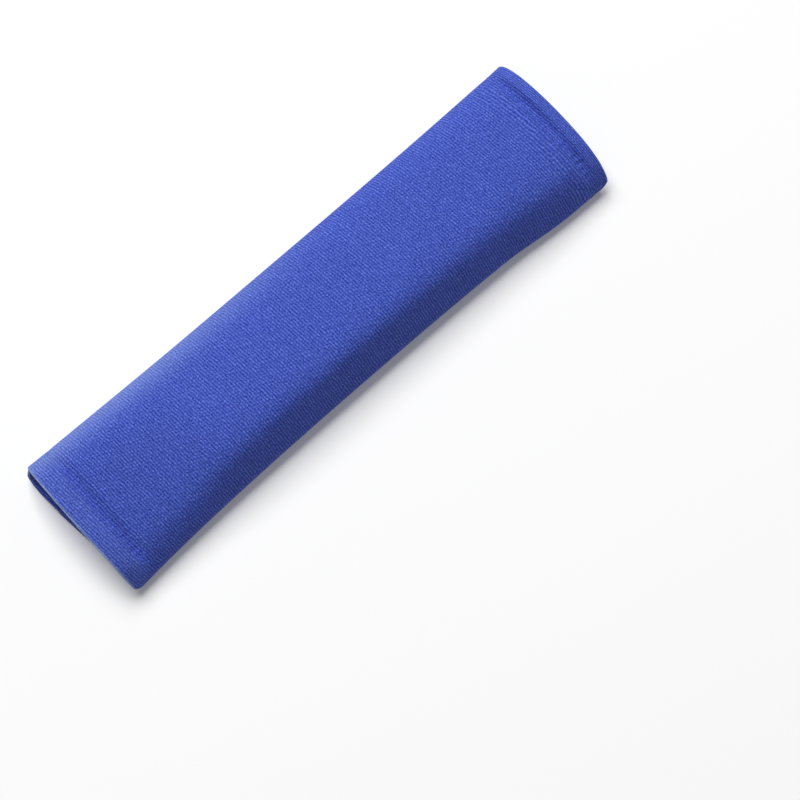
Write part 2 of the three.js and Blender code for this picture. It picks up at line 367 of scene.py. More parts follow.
def pull_of_stitches(x, depth, y, length, half):
    """How far stitches draw the panel in: a hem's groove is a bell across it, with a ripple from
    stitch to stitch, and the closure's rows make small grooves in the face under the pad."""
    away = np.abs(x) - STITCH_AT
    ripple = 1 + RIPPLE * np.cos(2 * np.pi * length / STITCH_PITCH)
    deep, to_end, to_middle = (
        np.where(x < 0, near, far) for near, far in zip(NEAR_GROOVE, FAR_GROOVE))
    hem = deep * off_folds(y, half) * bell(away, np.where(away > 0, to_end, to_middle)) * ripple
    row = bell(np.abs(y) - ROW_AT, ROW_GROOVE_WIDTH / 2) * smooth((STRIP_END - np.abs(x)) / MM)
    under = np.zeros(COLUMNS)
    under[slice(*SPAN["lower_flap"])] = 1
    return hem + ROW_GROOVE * row * under * np.clip(1 - depth / panel_depth(x), 0, 1)


def end_recess(x, y, z, half):
    """How far the cloth lies back from the end planes, more and more towards the ends. The edge of
    the upper layers bows back to the folds as the square of y and is rounded at its corners by a
    high power of it, and the edge of the lower layers is a slanting line."""
    near = x < 0
    aside = np.clip(np.abs(y) / half, 0, 1)
    front, rear = (np.where(near, NEAR_BOW[k], FAR_BOW[k]) for k in (0, 1))
    upper = np.where(near, NEAR_RECESS, FAR_RECESS) + np.where(y < 0, front, rear) * aside**2
    upper = upper + CORNER_ROUND * aside**14
    lower = LOWER_RECESS - LOWER_SLANT * y + LOWER_CORNER * aside**3 * (y > 0)
    share = smooth((z - LOWER_LAYERS[0]) / (LOWER_LAYERS[1] - LOWER_LAYERS[0]))
    return mix(lower, upper, share) * np.abs(x / HALF) ** 3


def sleeve(x, depth, columns=slice(None)):
    """Points of the panel: along the path of the section to a column, then into the panel by the
    depth, less the puff, of which the inner face gets half. Each x gives a row, and depth has a
    value for each row or each point."""
    x, depth = np.asarray(x, float), np.asarray(depth, float)
    y, z, half = section(x)
    length = arc_length(y, z)
    x, depth = x[:, None], depth.reshape(len(x), -1)
    dy, dz = np.gradient(y, axis=1), np.gradient(z, axis=1)
    size = np.hypot(dy, dz)
    in_hem = smooth((np.abs(x) - HEM_START) / HEM_STEP + 1)
    full = mix(panel_depth(x), HEM_THICKNESS, in_hem)
    deep = full / 2 + (depth - full / 2) * OPENNESS
    swell = HEM_FLARE * np.clip((np.abs(x) - STITCH_AT) / (HALF - STITCH_AT), 0, 1)
    swell = swell + SHOULDER_SWELL * bell(np.abs(x) - STITCH_AT + SHOULDER_WIDTH, SHOULDER_WIDTH)
    swell = (puff_at(x[:, 0]) + swell) * LIFTED * off_folds(y, half)
    into = deep + pull_of_stitches(x, deep, y, length, half) - swell * (1 - 0.5 * deep / full)
    points_y = y + dz / size * into
    points_z = z - dy / size * into
    points_x = x - np.sign(x) * end_recess(x, y, z, half)
    points_x = points_x + FAR_HEM_SHIFT * bell(x - STITCH_AT, HALF - STITCH_AT)
    return np.stack([points_x, points_y, points_z], axis=2)[:, columns], length[:, columns]


girth = np.ptp(arc_length(*section([0.0])[:2]))
print("girth midway, with the overlap, mm:", round(girth / MM, 1))

# %% [markdown]
# Padded cloth is never as even as a formula. A cloth simulation gives its slight fullness: a
# coarse copy of the outer face is held along the ground, at both stitch rows and at the ends, and
# air pressure pushes it out for twenty frames. Only its distance from the pattern is kept, limited
# and smoothed, and that one field then moves every layer, so they still fit each other.

# %% Puff the cover with a cloth simulation
SIM_SCALE = 20.0  # the solver works better on a sheet metres across
SIM_FRAMES = 20
SIM_ROWS, SIM_COLUMNS = 95, 42
SIM_PRESSURE = 4.0
PUFF_LOW, PUFF_HIGH = -0.3 * MM, 0.9 * MM


def grid_faces(rows, columns):
    """Four corners of each cell of a grid whose points are numbered row by row."""
    corner = np.arange(rows - 1)[:, None] * columns + np.arange(columns - 1)[None, :]
    return np.stack([corner, corner + 1, corner + columns + 1, corner + columns], axis=-1).reshape(-1, 4)


def blur(field, times):
    """Each value becomes a quarter of both neighbours and half of itself, along both axes."""
    for _ in range(times):
        for axis in (0, 1):
            edge = [(1, 1) if k == axis else (0, 0) for k in (0, 1)]
            wide = np.pad(field, edge, mode="edge")
            before, after = (np.take(wide, range(s, s + field.shape[axis]), axis) for s in (0, 2))
            field = field / 2 + (before + after) / 4
    return field


def simulate_puff():
    """The puff of the cover at every column, for a row of x values."""
    rows = np.linspace(-HALF, HALF, SIM_ROWS)
    first, last = SPAN["ground"][1] - 1, SPAN["ramp_up"][0] + 1
    picked = np.unique(np.linspace(first, last - 1, SIM_COLUMNS).astype(int))
    points, _ = sleeve(rows, np.zeros_like(rows))
    start = points[:, picked] * SIM_SCALE
    mesh = bpy.data.meshes.new("puff_sheet")
    mesh.from_pydata(start.reshape(-1, 3).tolist(), [], grid_faces(len(rows), len(picked)).tolist())
    sheet = put("puff_sheet", mesh)
    held = np.zeros((len(rows), len(picked)))
    held[:, [0, 1, -2, -1]] = 1
    for at in (-HALF, -STITCH_AT, STITCH_AT, HALF):
        held[np.argmin(np.abs(rows - at))] = 1
    group = sheet.vertex_groups.new(name="held")
    group.add([int(k) for k in np.flatnonzero(held.ravel())], 1.0, "REPLACE")
    cloth = sheet.modifiers.new("Cloth", "CLOTH")
    cloth.settings.quality = 8
    cloth.settings.mass = 0.3
    cloth.settings.tension_stiffness = 15
    cloth.settings.compression_stiffness = 15
    cloth.settings.bending_stiffness = 2
    cloth.settings.use_pressure = True
    cloth.settings.uniform_pressure_force = SIM_PRESSURE
    cloth.settings.vertex_group_mass = "held"
    cloth.settings.effector_weights.gravity = 0
    cloth.collision_settings.use_collision = False
    cloth.point_cache.frame_end = SIM_FRAMES
    for number in range(1, SIM_FRAMES + 1):
        bpy.context.scene.frame_set(number)
    shown = sheet.evaluated_get(bpy.context.evaluated_depsgraph_get())
    moved = np.empty(len(mesh.vertices) * 3, np.float32)
    shown.to_mesh().vertices.foreach_get("co", moved)
    shown.to_mesh_clear()
    bpy.data.objects.remove(sheet)
    bpy.context.scene.frame_set(1)
    along, round_it = np.gradient(start, axis=0), np.gradient(start, axis=1)
    outward = np.cross(round_it, along)
    outward /= np.linalg.norm(outward, axis=2, keepdims=True)
    push = ((moved.reshape(start.shape) - start) * outward).sum(axis=2) / SIM_SCALE
    print("puff mm: lowest", round(push.min() / MM, 3), "highest", round(push.max() / MM, 3))
    push = blur(np.clip(push, PUFF_LOW, PUFF_HIGH), 2)
    spread = np.stack([np.interp(np.arange(COLUMNS), picked, row) for row in push])
    return rows, spread


puff_field = simulate_puff()

# %% [markdown]
# Each layer is a closed body: its cut along the belt is a ring of points, and the ring is carried
# round the section. A shell could also be given its thickness by a modifier, but the hem folds
# back on itself, and there only the true cut gives the right layers. The mesh keeps the distances
# along and round the sleeve as its UV map, in metres, so that a weave can follow the cloth.

# %% Carry a cut round the section
CREASE = math.radians(50)  # faces that meet at more than this have a sharp edge


def path_length(x, depth):
    """Distance along the ring of a cut, counted from its first point, with the closing step."""
    steps = np.hypot(np.diff(x, append=x[:1]), np.diff(depth, append=depth[:1]))
    return np.concatenate([[0], np.cumsum(steps)])


def show(name, mesh):
    """Puts a finished mesh into the scene as a piece of the sleeve, on the root body, and prints its
    triangles.
    """
    piece = put(name, mesh)
    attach(piece, "root")
    triangles = sum(len(face.vertices) - 2 for face in mesh.polygons)
    print(f"{name}: {triangles} triangles")
    return piece


def sweep(name, x, depth, columns, side_depth=None):
    """A closed body with a ring of (x, depth) points at every column and a flat face at each end.
    Point k of column i is joined to k+1 and i+1. UV is (way along the ring, way round). side_depth
    takes the place of depth at the columns in the edges of the flaps."""
    depths = np.repeat(depth[:, None], COLUMNS, axis=1)
    if side_depth is not None:
        depths[:, :LAYERS.start] = side_depth[:, None]
        depths[:, LAYERS.stop:] = side_depth[:, None]
    points, length = sleeve(x, depths, columns)
    rings, width, _ = points.shape
    order = np.arange(rings * width).reshape(rings, width)
    after = np.roll(order, -1, axis=0)
    corners = [order[:, :-1], order[:, 1:], after[:, 1:], after[:, :-1]]
    quads = np.stack(corners, axis=-1).reshape(-1, 4)
    caps = [order[::-1, 0].tolist(), order[:, -1].tolist()]
    mesh = bpy.data.meshes.new(name)
    mesh.from_pydata(points.reshape(-1, 3).tolist(), [], quads.tolist() + caps)
    u = path_length(x, depth) + x[0]
    now, then = (np.broadcast_to(u[s:s + rings, None], (rings, width - 1)) for s in (0, 1))
    later = np.roll(length, -1, axis=0)
    pairs = [
        (now, length[:, :-1]), (now, length[:, 1:]),
        (then, later[:, 1:]), (then, later[:, :-1]),
    ]
    uv = np.stack([np.stack(pair, axis=-1) for pair in pairs], axis=2).reshape(-1, 2)
    ends = [np.stack([u[:-1], length[:, k]], axis=-1)[::step] for k, step in ((0, -1), (-1, 1))]
    layer = mesh.uv_layers.new(name="Cloth")
    layer.data.foreach_set("uv", np.concatenate([uv, *ends]).astype(np.float32).ravel())
    mesh.shade_smooth()
    mesh.set_sharp_from_angle(angle=CREASE)
    mesh.validate()
    return show(name, mesh)


def mark(piece, name, values):
    """Keeps a value for every ring and column of a swept piece as an attribute of its points."""
    attribute = piece.data.attributes.new(name, "FLOAT", "POINT")
    attribute.data.foreach_set("value", values.astype(np.float32).ravel())


def fold_round(x, depth, radius, steps):
    """Half a circle of a cloth folded back on itself at the far end, from the face at depth - radius
    to the face at depth + radius, without its two ends: (x + r cos a, depth + r sin a)."""
    angle = np.linspace(-math.pi / 2, math.pi / 2, steps + 1)[1:-1]
    return x + radius * np.cos(angle), depth + radius * np.sin(angle)


# %% [markdown]
# The cover is the knitted skin. At each end it turns in over the lining and is caught by a row of
# stitches behind the fold. In the photograph this fold is soft and round, with a thin bright line
# along it, the rear fold is pale near that end, and the cloth turned in is dark. The finish paints
# the bright line and a paler hem band as highlight, partly wear, the pale rear fold as sheen, and
# the dark turned-in cloth as shade. The turn could be a bevel, but a true half circle catches the
# light as the cloth does. Two attributes tell the finish where the painted highlight, sheen and
# wear go and where the painted shade goes.

# %% The knitted cover
FOLD_STEPS = 16
POCKET = HEM_THICKNESS - 2 * COVER  # what the cover holds between its two faces at a hem
FOLD_X = HALF - HEM_THICKNESS / 2
FINE_END = HEM_START - 4 * MM  # points lie closer together beyond it
OUTER_POINTS, INNER_POINTS = (150, 30), (44, 20)  # how many along the body, and along each hem
BACK_POINTS = 14
# painted highlight, partly wear, along the folds and hem bands, and painted sheen on the rear fold
HIGHLIGHT_AND_WEAR_LINE, HIGHLIGHT_AND_WEAR_LINE_REACH = 0.2, 0.27  # of the turn from the outer face to the one within
# painted shade of the cloth turned in at the hems: where on the turn it begins, and how soon it is full
PAINTED_SHADE_FROM, PAINTED_SHADE_REACH = 0.35, 0.3
HEM_HIGHLIGHT_AND_WEAR, FAR_HIGHLIGHT_AND_WEAR = 0.05, 0.25  # painted highlight and wear of a hem beside its fold, and their share at the far end
HEM_HIGHLIGHT_AND_WEAR_REACH = 2 * MM  # how soon a hem takes on its painted highlight and wear beyond the stitches
REAR_SHEEN = 0.33  # painted sheen of the rear fold
REAR_SHEEN_FROM = 0.5  # share of the half width where it begins
REAR_SHEEN_TO, REAR_SHEEN_REACH = 40 * MM, 110 * MM  # x where it ends, and how long it fades


def along_belt(reach, coarse, fine):
    """Values of x from -reach to reach, close together near the hems."""
    body = np.linspace(-FINE_END, FINE_END, coarse)
    hem = np.linspace(FINE_END, reach, fine + 1)[1:]
    return np.concatenate([-hem[::-1], body, hem])


def cover_cut():
    """The ring of the cover: outer face, turned hem, pocket, inner face and the other hem."""
    outer = along_belt(FOLD_X, *OUTER_POINTS)
    inner = along_belt(FOLD_X, *INNER_POINTS)[::-1]
    back = np.linspace(FOLD_X, HEM_START, BACK_POINTS)
    middle = HEM_THICKNESS / 2
    turn_x, turn_depth = fold_round(FOLD_X, middle, middle, FOLD_STEPS)
    rest_x, rest_depth = fold_round(FOLD_X, middle, POCKET / 2, FOLD_STEPS // 2)
    half_x = [turn_x, back, back[::-1], rest_x[::-1]]
    half_depth = [
        turn_depth,
        np.full_like(back, HEM_THICKNESS),
        np.full_like(back, HEM_THICKNESS - COVER),
        rest_depth[::-1],
    ]
    x = [outer, *half_x, inner, *[-part[::-1] for part in half_x[::-1]]]
    depth = [
        np.zeros_like(outer), *half_depth,
        np.full_like(inner, COVER), *[part[::-1] for part in half_depth[::-1]],
    ]
    return np.concatenate(x), np.concatenate(depth)


cover_x, cover_depth = cover_cut()
is_inner = np.isclose(cover_depth, COVER) & (fullness(cover_x) > 0)
edge_depth = np.where(is_inner, panel_depth(cover_x), cover_depth)
cover = sweep("knitted_cover", cover_x, cover_depth, slice(None), edge_depth)
turned = np.where(np.abs(cover_x) > FINE_END, cover_depth / HEM_THICKNESS, 0)  # 0 outside, 1 within
# painted highlight, partly wear: a pale line on the outer half of each fold, and a paler hem band
fold_highlight_and_wear = (np.abs(cover_x) > FOLD_X) * bell(turned - HIGHLIGHT_AND_WEAR_LINE, HIGHLIGHT_AND_WEAR_LINE_REACH)
hem_highlight_and_wear = HEM_HIGHLIGHT_AND_WEAR * smooth((np.abs(cover_x) - STITCH_AT) / HEM_HIGHLIGHT_AND_WEAR_REACH)
highlight_and_wear = (turned < 0.5) * np.maximum(fold_highlight_and_wear, hem_highlight_and_wear) * np.where(cover_x < 0, 1, FAR_HIGHLIGHT_AND_WEAR)
# painted sheen: the rear fold paler towards the near end
face_y, _, half_there = section(cover_x)
rear_sheen = REAR_SHEEN * smooth((face_y / half_there - REAR_SHEEN_FROM) / (1 - REAR_SHEEN_FROM))
rear_sheen = rear_sheen * smooth((REAR_SHEEN_TO - cover_x) / REAR_SHEEN_REACH)[:, None]
mark(cover, "HighlightAndWear", np.maximum(highlight_and_wear[:, None], rear_sheen) * LIFTED)
# painted shade: the cloth turned in at the hems is darker
painted_shade = smooth((turned - PAINTED_SHADE_FROM) / PAINTED_SHADE_REACH)
mark(cover, "PaintedShade", np.repeat(painted_shade[:, None], COLUMNS, axis=1))
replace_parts(cover, "outer_cover")

# %% [markdown]
# Inside the cover lies the sheet of foam, thinned towards the hems so that they can be sewn flat,
# and on its other face the lining, which shows through the open ends of the sleeve. Both could be
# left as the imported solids, but then the puffed cover would part from them. Cutting them from the
# same surface keeps every layer in touch.

# %% Foam and lining


def sheet_cut(reach, outer, inner, coarse=60, fine=14):
    """The ring of a plain layer: there along its outer face and back along its inner one. Both
    faces are given as functions of x that tell their depth."""
    there = along_belt(reach, coarse, fine)
    back = there[::-1]
    return np.concatenate([there, back]), np.concatenate([outer(there), inner(back)])


foam_x, foam_depth = sheet_cut(
    FOAM_END,
    lambda x: np.full_like(x, COVER + GAP),
    lambda x: panel_depth(x) - LINING - GAP,
)
foam = sweep("foam_sheet", foam_x, foam_depth, LAYERS)
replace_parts(foam, "foam_padding")

lining_x, lining_depth = sheet_cut(FOLD_X, lambda x: panel_depth(x) - LINING, panel_depth)
lining = sweep("lining_cloth", lining_x, lining_depth, LAYERS)
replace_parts(lining, "inner_lining")

# %% [markdown]
# The closure is a tape of hooks on the lower flap and a tape of loops on the upper one. A flat
# strip with a bump map would do from far away. Here each tape is a thin woven base with rounded
# edges, and the hooks and loops are real little arches, bent from one short rod and copied by
# array arithmetic over the whole tape.

# %% Tapes
TAPE_BASE = 0.3 * MM
TAPE_SPACING = 1.5 * MM
TAPE_MARGIN = 3.5 * MM  # both edges together
WIRE = 0.05 * MM  # radius of a hook's or a loop's wire
WIRE_SIDES, ARCH_RINGS = 4, 6
ARCH_ROOT = 0.45  # share of the base's thickness from its middle to where an arch is rooted
TAPE_SIDES, TAPE_RINGS, TAPE_SQUARENESS = 24, 61, 5
HOOK_TURN, LOOP_TURN = math.radians(140), math.radians(180)


def superellipse_ring(width, height, sides, power):
    """y and z of |2y/width|^p + |2z/height|^p = 1, with the points spread over the angle."""
    angle = 2 * np.pi * np.arange(sides) / sides
    return tuple(
        size / 2 * np.sign(wave) * np.abs(wave) ** (2 / power)
        for size, wave in ((width, np.cos(angle)), (height, np.sin(angle)))
    )


def tube_faces(rings, sides, count=1, start=0):
    """Faces of equal tubes whose points follow each other: quads round them and a face over each
    end. A tube's rings of points follow each other too."""
    ring, side = np.arange(rings - 1)[:, None], np.arange(sides)[None, :]
    after = (side + 1) % sides
    corners = [ring * sides + side, ring * sides + after,
               (ring + 1) * sides + after, (ring + 1) * sides + side]
    quads = np.stack(corners, axis=-1).reshape(-1, 4)
    caps = np.stack([np.arange(sides)[::-1], np.arange((rings - 1) * sides, rings * sides)])
    first = start + np.arange(count)[:, None, None] * rings * sides
    parts = [(part + first).reshape(-1, part.shape[1]).tolist() for part in (quads, caps)]
    return parts[0] + parts[1]


def bent_rod(path, side, up, radius, sides):
    """Rings of points round a path: centre + radius (cos a * side + sin a * up)."""
    angle = 2 * np.pi * np.arange(sides) / sides
    spread = np.cos(angle)[:, None] * side[..., None, :] + np.sin(angle)[:, None] * up[..., None, :]
    return path[..., None, :] + np.asarray(radius)[..., None, None] * spread


def tape_base(low, high, height):
    """The woven strip: a flat superellipse section carried from one end of the box to the other."""
    width = high[1] - low[1]
    ring_y, ring_z = superellipse_ring(width, TAPE_BASE, TAPE_SIDES, TAPE_SQUARENESS)
    xs = np.linspace(low[0], high[0], TAPE_RINGS)[:, None]
    return np.stack(np.broadcast_arrays(xs, (low[1] + high[1]) / 2 + ring_y, height + ring_z), axis=-1)


def tape_grid(low, high):
    """x and y of every hook or loop: even rows, each second one half a step further on."""
    columns, rows = (int(room / TAPE_SPACING) for room in (high - low)[:2] - TAPE_MARGIN)
    steps = [TAPE_SPACING * (np.arange(count) - (count - 1) / 2) for count in (columns, rows)]
    x, y = np.meshgrid(*steps)
    x = x + TAPE_SPACING * (np.arange(rows)[:, None] % 2 / 2 - 0.25)
    return (low[0] + high[0]) / 2 + x.ravel(), (low[1] + high[1]) / 2 + y.ravel()


def tape_arches(low, high, root, way, turn):
    """A little arch of wire at every place of the grid: at angle a, from 0 to turn, it is at
    (-r cos a, way * r sin a) from its middle in the xz plane."""
    x, y = tape_grid(low, high)
    radius = high[2] - low[2] - TAPE_BASE - WIRE
    angle = np.linspace(0, turn, ARCH_RINGS)
    path = np.stack(np.broadcast_arrays(
        x[:, None] - radius * np.cos(angle), y[:, None], root + way * radius * np.sin(angle),
    ), axis=-1)
    outward = np.stack([-np.cos(angle), 0 * angle, way * np.sin(angle)], axis=-1)
    return bent_rod(path, np.array([0.0, -way, 0.0]), outward, WIRE, WIRE_SIDES)


def make_tape(name, node, way, turn):
    """A tape in the box of its node. Its arches stand up if way is 1 and hang down if it is -1."""
    low, high = (np.array(corner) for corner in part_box(node))
    height = (low if way > 0 else high)[2] + way * TAPE_BASE / 2
    base = tape_base(low, high, height)
    arches = tape_arches(low, high, height + way * ARCH_ROOT * TAPE_BASE, way, turn)
    faces = tube_faces(*base.shape[:2])
    faces += tube_faces(ARCH_RINGS, WIRE_SIDES, len(arches), base[..., 0].size)
    mesh = bpy.data.meshes.new(name)
    points = np.concatenate([base.reshape(-1, 3), arches.reshape(-1, 3)])
    mesh.from_pydata(points.tolist(), [], faces)
    mesh.shade_smooth()
    mesh.set_sharp_from_angle(angle=CREASE)
    tape = show(name, mesh)
    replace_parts(tape, node)
    return tape


hook_tape = make_tape("hook_tape", "hook_strip", 1, HOOK_TURN)
loop_tape = make_tape("loop_tape", "loop_strip", -1, LOOP_TURN)

# %% [markdown]
# Every seam is lock stitched with a thread of the cover's own colour. A row of stitches could be
# one long tube with a dashed bump, but a real stitch dives into the cloth at both ends. So each
# one is a short bead laid along the seam, thick in the middle and sunk at its ends, and the whole
# row is worked out in one go from the arc length of the path under it.

# %% Stitches
THREAD = 0.4 * MM
STITCH_LENGTH = 2.5 * MM
STITCH_RINGS = 7
THREAD_SIDES = 6
SUNK = 0.1  # share of its thickness by which a hem's thread lies below the face
BELOW = 0.5 * MM  # depth of a second point, which tells the way out of the cloth
ROW_POINTS = 400


def sew(name, node, path, outward):
    """Beads along a path: stitch j is centred at (j + 1/2) pitch, and at t from -0.98 to 0.98 along
    it the thread's radius is r sqrt(1 - t^4) and its centre is sunk by 0.9 r t^4."""
    steps = np.linalg.norm(np.diff(path, axis=0), axis=1)
    along = np.concatenate([[0], np.cumsum(steps)])
    count = int(along[-1] / STITCH_PITCH)
    middle = (np.arange(count) + 0.5) * along[-1] / count
    t = np.linspace(-0.98, 0.98, STITCH_RINGS)
    at = middle[:, None] + t * STITCH_LENGTH / 2

    def sample(values):
        return np.stack([np.interp(at, along, values[:, k]) for k in range(3)], axis=-1)

    centre, up = sample(path), sample(outward)
    ahead = np.gradient(centre, axis=1)
    ahead /= np.linalg.norm(ahead, axis=-1, keepdims=True)
    side = np.cross(ahead, up)
    side /= np.linalg.norm(side, axis=-1, keepdims=True)
    up = np.cross(side, ahead)
    centre = centre - up * (0.9 * THREAD / 2 * t**4)[:, None]
    points = bent_rod(centre, side, up, THREAD / 2 * np.sqrt(1 - t**4), THREAD_SIDES)
    mesh = bpy.data.meshes.new(name)
    mesh.from_pydata(points.reshape(-1, 3).tolist(), [], tube_faces(STITCH_RINGS, THREAD_SIDES, count))
    mesh.shade_smooth()
    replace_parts(show(name, mesh), node)


def hem_path(x):
    """The middle of the hem's thread all round the sleeve, and the way out of the cloth there."""
    faces = slice(SPAN["lower_flap"][0], SPAN["upper_flap"][1])
    on_face, _ = sleeve([x], [SUNK * THREAD], faces)
    below, _ = sleeve([x], [BELOW], faces)
    outward = on_face[0] - below[0]
    return on_face[0], outward / np.linalg.norm(outward, axis=1, keepdims=True)


def row_path(node):
    """The straight middle line of a closure row's thread, read from its node's box."""
    low, high = (np.array(corner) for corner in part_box(node))
    xs = np.linspace(low[0], high[0], ROW_POINTS)
    middle = (low + high) / 2
    return np.stack([xs, middle[1] + 0 * xs, middle[2] + 0 * xs], axis=1)


for end, at in (("left", -STITCH_AT), ("right", STITCH_AT)):
    sew(f"hem_stitches_{end}", f"hem_stitching_{end}", *hem_path(at))
for strip, up in (("hook", -1.0), ("loop", 1.0)):
    for row in ("front", "rear"):
        line = row_path(f"{strip}_strip_stitching_{row}")
        outward = np.tile([0.0, 0.0, up], (len(line), 1))
        sew(f"{strip}_tape_stitches_{row}", f"{strip}_strip_stitching_{row}", line, outward)

# %% [markdown]
# The finishes. The knit of the cover is what the photograph shows most of: fine ribs across the
# belt, about one to a millimetre, each broken into short soft loops. The loops shift from rib to
# rib, so that faint diagonals appear, and a fuzz of fibres lies over them. An image could be tiled,
# but a formula in the UV map's metres stays sharp at any distance and follows the cloth round every
# fold. It is a node group, because cover and lining use it with different values.

# %% Shader helpers


def feed(tree, socket, value):
    """Sets a socket to the value, or links it if the value is another node's output."""
    if isinstance(value, bpy.types.NodeSocket):
        tree.links.new(value, socket)
    else:
        socket.default_value = value


def add(tree, kind, values=None, **settings):
    """A new node with these settings. values feeds its inputs, by name or number."""
    node = tree.nodes.new(kind)
    for name, value in settings.items():
        setattr(node, name, value)
    for key, value in (values or {}).items():
        feed(tree, node.inputs[key], value)
    return node


def calc(tree, operation, a, b=0.0, c=0.0):
    """The output of a Math node: operation of a, b and c."""
    return add(tree, "ShaderNodeMath", {0: a, 1: b, 2: c}, operation=operation).outputs[0]


def noise(tree, place, scale, detail=2.0, roughness=0.5):
    """A noise over the place, about -0.5 to 0.5."""
    values = {"Vector": place, "Scale": scale, "Detail": detail, "Roughness": roughness}
    return calc(tree, "SUBTRACT", add(tree, "ShaderNodeTexNoise", values).outputs[0], 0.5)


def wave(tree, turns):
    """0 at whole turns and 1 halfway between them: 0.5 - 0.5 cos(2 pi turns)."""
    return calc(tree, "MULTIPLY_ADD",
                calc(tree, "COSINE", calc(tree, "MULTIPLY", turns, 2 * math.pi)), -0.5, 0.5)


def new_group(name, inputs, outputs):
    """An empty shader group with its sockets, its input node and its output node."""
    group = bpy.data.node_groups.new(name, "ShaderNodeTree")
    for label in inputs:
        kind = "NodeSocketVector" if label == "Place" else "NodeSocketFloat"
        group.interface.new_socket(label, in_out="INPUT", socket_type=kind)
    for label in outputs:
        group.interface.new_socket(label, in_out="OUTPUT", socket_type="NodeSocketFloat")
    return group, add(group, "NodeGroupInput"), add(group, "NodeGroupOutput")


RIB_SLANT = 0.075  # how far a rib wanders along the belt on its way round
LOOP_STEP = 0.37  # how far the loops are moved on from each rib to the next
RIB_WANDER, LOOP_JITTER = 0.9, 1.4  # how unevenly the ribs and the loops run


def rib_knit_group():
    """Ribs across the belt: height = rib * loop + fuzz. The rib is a wave over u, a little slanted.
    The loop is a wave over v, moved on by a third or so from each rib to the next, and every loop
    gets its own height from a white noise of its two numbers."""
    group, given, made = new_group(
        "rib_knit", ["Place", "Rib", "Loop", "Fuzz"], ["Height", "Crest", "Cloud"])
    place = given.outputs["Place"]
    parts = add(group, "ShaderNodeSeparateXYZ", {0: place})
    wander = noise(group, place, 260.0, 2.0)
    jitter = noise(group, place, 900.0, 1.0)
    slanted = calc(group, "MULTIPLY_ADD", parts.outputs[1], RIB_SLANT, parts.outputs[0])
    across = calc(group, "DIVIDE", slanted, given.outputs["Rib"])
    across = calc(group, "ADD", across, calc(group, "MULTIPLY", wander, RIB_WANDER))
    number = calc(group, "FLOOR", across)
    around = calc(group, "DIVIDE", parts.outputs[1], given.outputs["Loop"])
    around = calc(group, "MULTIPLY_ADD", number, LOOP_STEP, around)
    around = calc(group, "ADD", around, calc(group, "MULTIPLY", jitter, LOOP_JITTER))
    cell = add(group, "ShaderNodeCombineXYZ", {0: number, 1: calc(group, "FLOOR", around)})
    chance = add(group, "ShaderNodeTexWhiteNoise", {"Vector": cell.outputs[0]}).outputs["Value"]
    peak = calc(group, "MULTIPLY_ADD", chance, 0.8, 0.1)
    loop = calc(group, "MULTIPLY_ADD", wave(group, around), peak, 0.50)
    knit = calc(group, "MULTIPLY", wave(group, across), loop)
    fuzz = calc(group, "MULTIPLY", noise(group, place, 1500.0, 3.0, 0.7), given.outputs["Fuzz"])
    height = calc(group, "ADD", knit, fuzz)
    crest = add(group, "ShaderNodeMapRange", {0: height, 1: -0.25, 2: 1.25})
    cloud = calc(group, "ADD", noise(group, place, 45.0, 3.0), noise(group, place, 350.0, 2.0))
    for label, value in (("Height", height), ("Crest", crest.outputs[0]), ("Cloud", cloud)):
        group.links.new(value, made.inputs[label])
    return group


rib_knit = rib_knit_group()
print("nodes in the knit group:", len(rib_knit.nodes))

# %% [markdown]
# Cloth scatters light from a fur of fibre ends, which shows as a pale rim where the surface turns
# away. The Principled shader's sheen does that. Its weight and tint are the same all over, so they
# are set on the shader itself, and only colour and bump come from the group.

# %% Cloth finishes


def shader(name, roughness, sheen=0.0, sheen_tint=(1, 1, 1, 1), specular=0.25):
    """A material with a Principled shader of plain settings, ready for its colour and normal."""
    material = bpy.data.materials.new(name)
    material.use_nodes = True
    tree = material.node_tree
    surface = tree.nodes["Principled BSDF"]
    plain = {
        "Roughness": roughness, "Specular IOR Level": specular,
        "Sheen Weight": sheen, "Sheen Roughness": 0.3, "Sheen Tint": sheen_tint,
    }
    for key, value in plain.items():
        surface.inputs[key].default_value = value
    return material, tree, surface


def blend(tree, share, a, b):
    """The colour this share of the way from a to b."""
    node = add(tree, "ShaderNodeMix", data_type="RGBA")
    for key, value in (("Factor", share), ("A", a), ("B", b)):
        feed(tree, next(s for s in node.inputs if s.name == key and s.enabled), value)
    return next(s for s in node.outputs if s.enabled)


def dress(tree, surface, colour, height, depth, strength):
    """Leads the colour to the shader, and a bump of this depth that the height gives."""
    tree.links.new(colour, surface.inputs["Base Color"])
    values = {"Height": height, "Distance": depth, "Strength": strength}
    tree.links.new(add(tree, "ShaderNodeBump", values).outputs[0], surface.inputs["Normal"])


# pale colour of the painted highlight and sheen, partly wear
HIGHLIGHT_AND_WEAR_KNIT = (0.40, 0.54, 0.90, 1)
PAINTED_SHADE_DEPTH = 0.2  # how much darker the painted shade makes the cloth
UNEVENNESS = 0.12


